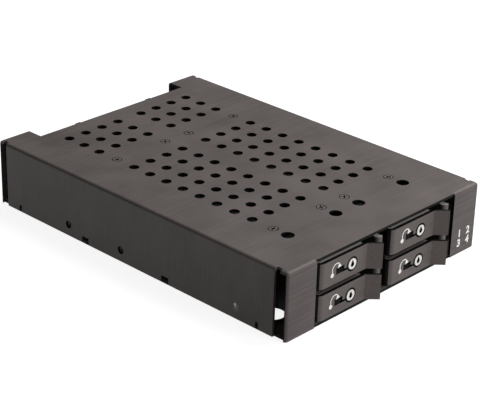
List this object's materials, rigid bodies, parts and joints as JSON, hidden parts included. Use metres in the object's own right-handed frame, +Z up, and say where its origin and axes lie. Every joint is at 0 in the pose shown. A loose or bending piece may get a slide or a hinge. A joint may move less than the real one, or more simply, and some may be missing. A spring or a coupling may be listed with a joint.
{
  "type": "hot swap drive cage",
  "caption": "Flat sheet-metal bay cage with a perforated cover, holding drive-module trays in two columns, each with a swing handle, key lock and latch.",
  "frame": {"origin": "middle of the underside of the bottom plate, half way along the chassis", "axes": "+X to the right seen from the tray side, +Y to the connector side, +Z up"},
  "size_m": [0.1016, 0.1499, 0.0254],
  "materials": {
    "black_shell": "satin",
    "handle_metal": "satin",
    "tray_metal": "satin",
    "frame_plastic": "matte",
    "dark_screw": "satin",
    "bright_steel": "satin",
    "lock_metal": "polished",
    "connector_plastic": "matte",
    "connector_metal": "satin",
    "circuit_board": "gloss",
    "capacitor_can": "satin"
  },
  "bodies": {
    "chassis": {"cover_shell": "black_shell", "bottom_plate": "black_shell", "bay_frame": "frame_plastic", "cover_screws": "dark_screw", "base_screws": "dark_screw", "side_nuts": "bright_steel", "backplane_board": "circuit_board", "backplane_screws": "bright_steel", "power_connector": "connector_plastic", "board_capacitors": "capacitor_can", "tray_socket_lower_left": "connector_plastic", "host_connector_lower_left": "connector_metal", "tray_socket_lower_right": "connector_plastic", "host_connector_lower_right": "connector_metal", "tray_socket_upper_left": "connector_plastic", "host_connector_upper_left": "connector_metal", "tray_socket_upper_right": "connector_plastic", "host_connector_upper_right": "connector_metal"},
    "tray_body_lower_left": {"tray_lower_left": "tray_metal", "hinge_pin_lower_left": "bright_steel", "adapter_board_lower_left": "circuit_board", "module_socket_lower_left": "connector_plastic", "edge_plug_lower_left": "connector_plastic", "module_screw_lower_left": "bright_steel"},
    "handle_body_lower_left": {"handle_lower_left": "handle_metal", "lock_bush_lower_left": "connector_plastic"},
    "lock_body_lower_left": {"lock_plug_lower_left": "lock_metal"},
    "latch_body_lower_left": {"latch_button_lower_left": "connector_plastic"},
    "tray_body_lower_right": {"tray_lower_right": "tray_metal", "hinge_pin_lower_right": "bright_steel", "adapter_board_lower_right": "circuit_board", "module_socket_lower_right": "connector_plastic", "edge_plug_lower_right": "connector_plastic", "module_screw_lower_right": "bright_steel"},
    "handle_body_lower_right": {"handle_lower_right": "handle_metal", "lock_bush_lower_right": "connector_plastic"},
    "lock_body_lower_right": {"lock_plug_lower_right": "lock_metal"},
    "latch_body_lower_right": {"latch_button_lower_right": "connector_plastic"},
    "tray_body_upper_left": {"tray_upper_left": "tray_metal", "hinge_pin_upper_left": "bright_steel", "adapter_board_upper_left": "circuit_board", "module_socket_upper_left": "connector_plastic", "edge_plug_upper_left": "connector_plastic", "module_screw_upper_left": "bright_steel"},
    "handle_body_upper_left": {"handle_upper_left": "handle_metal", "lock_bush_upper_left": "connector_plastic"},
    "lock_body_upper_left": {"lock_plug_upper_left": "lock_metal"},
    "latch_body_upper_left": {"latch_button_upper_left": "connector_plastic"},
    "tray_body_upper_right": {"tray_upper_right": "tray_metal", "hinge_pin_upper_right": "bright_steel", "adapter_board_upper_right": "circuit_board", "module_socket_upper_right": "connector_plastic", "edge_plug_upper_right": "connector_plastic", "module_screw_upper_right": "bright_steel"},
    "handle_body_upper_right": {"handle_upper_right": "handle_metal", "lock_bush_upper_right": "connector_plastic"},
    "lock_body_upper_right": {"lock_plug_upper_right": "lock_metal"},
    "latch_body_upper_right": {"latch_button_upper_right": "connector_plastic"}
  },
  "joints": [
    {"name": "tray_slide_lower_left", "type": "slide", "parent": "chassis", "child": "tray_body_lower_left", "axis": [0, -1, 0], "range_m": [0, 0.105]},
    {"name": "handle_swing_lower_left", "type": "hinge", "parent": "tray_body_lower_left", "child": "handle_body_lower_left", "pos_m": [-0.0327, -0.0704, 0.00605], "axis": [0, 0, -1], "range_deg": [0, 90]},
    {"name": "lock_turn_lower_left", "type": "hinge", "parent": "handle_body_lower_left", "child": "lock_body_lower_left", "pos_m": [-0.01875, -0.073, 0.0058], "axis": [0, 1, 0], "range_deg": [0, 90]},
    {"name": "latch_slide_lower_left", "type": "slide", "parent": "handle_body_lower_left", "child": "latch_body_lower_left", "axis": [1, 0, 0], "range_m": [0, 0.0014], "stiffness_N_per_m": 300},
    {"name": "tray_slide_lower_right", "type": "slide", "parent": "chassis", "child": "tray_body_lower_right", "axis": [0, -1, 0], "range_m": [0, 0.105]},
    {"name": "handle_swing_lower_right", "type": "hinge", "parent": "tray_body_lower_right", "child": "handle_body_lower_right", "pos_m": [0.0038, -0.0704, 0.00605], "axis": [0, 0, -1], "range_deg": [0, 90]},
    {"name": "lock_turn_lower_right", "type": "hinge", "parent": "handle_body_lower_right", "child": "lock_body_lower_right", "pos_m": [0.01775, -0.073, 0.0058], "axis": [0, 1, 0], "range_deg": [0, 90]},
    {"name": "latch_slide_lower_right", "type": "slide", "parent": "handle_body_lower_right", "child": "latch_body_lower_right", "axis": [1, 0, 0], "range_m": [0, 0.0014], "stiffness_N_per_m": 300},
    {"name": "tray_slide_upper_left", "type": "slide", "parent": "chassis", "child": "tray_body_upper_left", "axis": [0, -1, 0], "range_m": [0, 0.105]},
    {"name": "handle_swing_upper_left", "type": "hinge", "parent": "tray_body_upper_left", "child": "handle_body_upper_left", "pos_m": [-0.0327, -0.0704, 0.01785], "axis": [0, 0, -1], "range_deg": [0, 90]},
    {"name": "lock_turn_upper_left", "type": "hinge", "parent": "handle_body_upper_left", "child": "lock_body_upper_left", "pos_m": [-0.01875, -0.073, 0.0176], "axis": [0, 1, 0], "range_deg": [0, 90]},
    {"name": "latch_slide_upper_left", "type": "slide", "parent": "handle_body_upper_left", "child": "latch_body_upper_left", "axis": [1, 0, 0], "range_m": [0, 0.0014], "stiffness_N_per_m": 300},
    {"name": "tray_slide_upper_right", "type": "slide", "parent": "chassis", "child": "tray_body_upper_right", "axis": [0, -1, 0], "range_m": [0, 0.105]},
    {"name": "handle_swing_upper_right", "type": "hinge", "parent": "tray_body_upper_right", "child": "handle_body_upper_right", "pos_m": [0.0038, -0.0704, 0.01785], "axis": [0, 0, -1], "range_deg": [0, 90]},
    {"name": "lock_turn_upper_right", "type": "hinge", "parent": "handle_body_upper_right", "child": "lock_body_upper_right", "pos_m": [0.01775, -0.073, 0.0176], "axis": [0, 1, 0], "range_deg": [0, 90]},
    {"name": "latch_slide_upper_right", "type": "slide", "parent": "handle_body_upper_right", "child": "latch_body_upper_right", "axis": [1, 0, 0], "range_m": [0, 0.0014], "stiffness_N_per_m": 300}
  ]
}
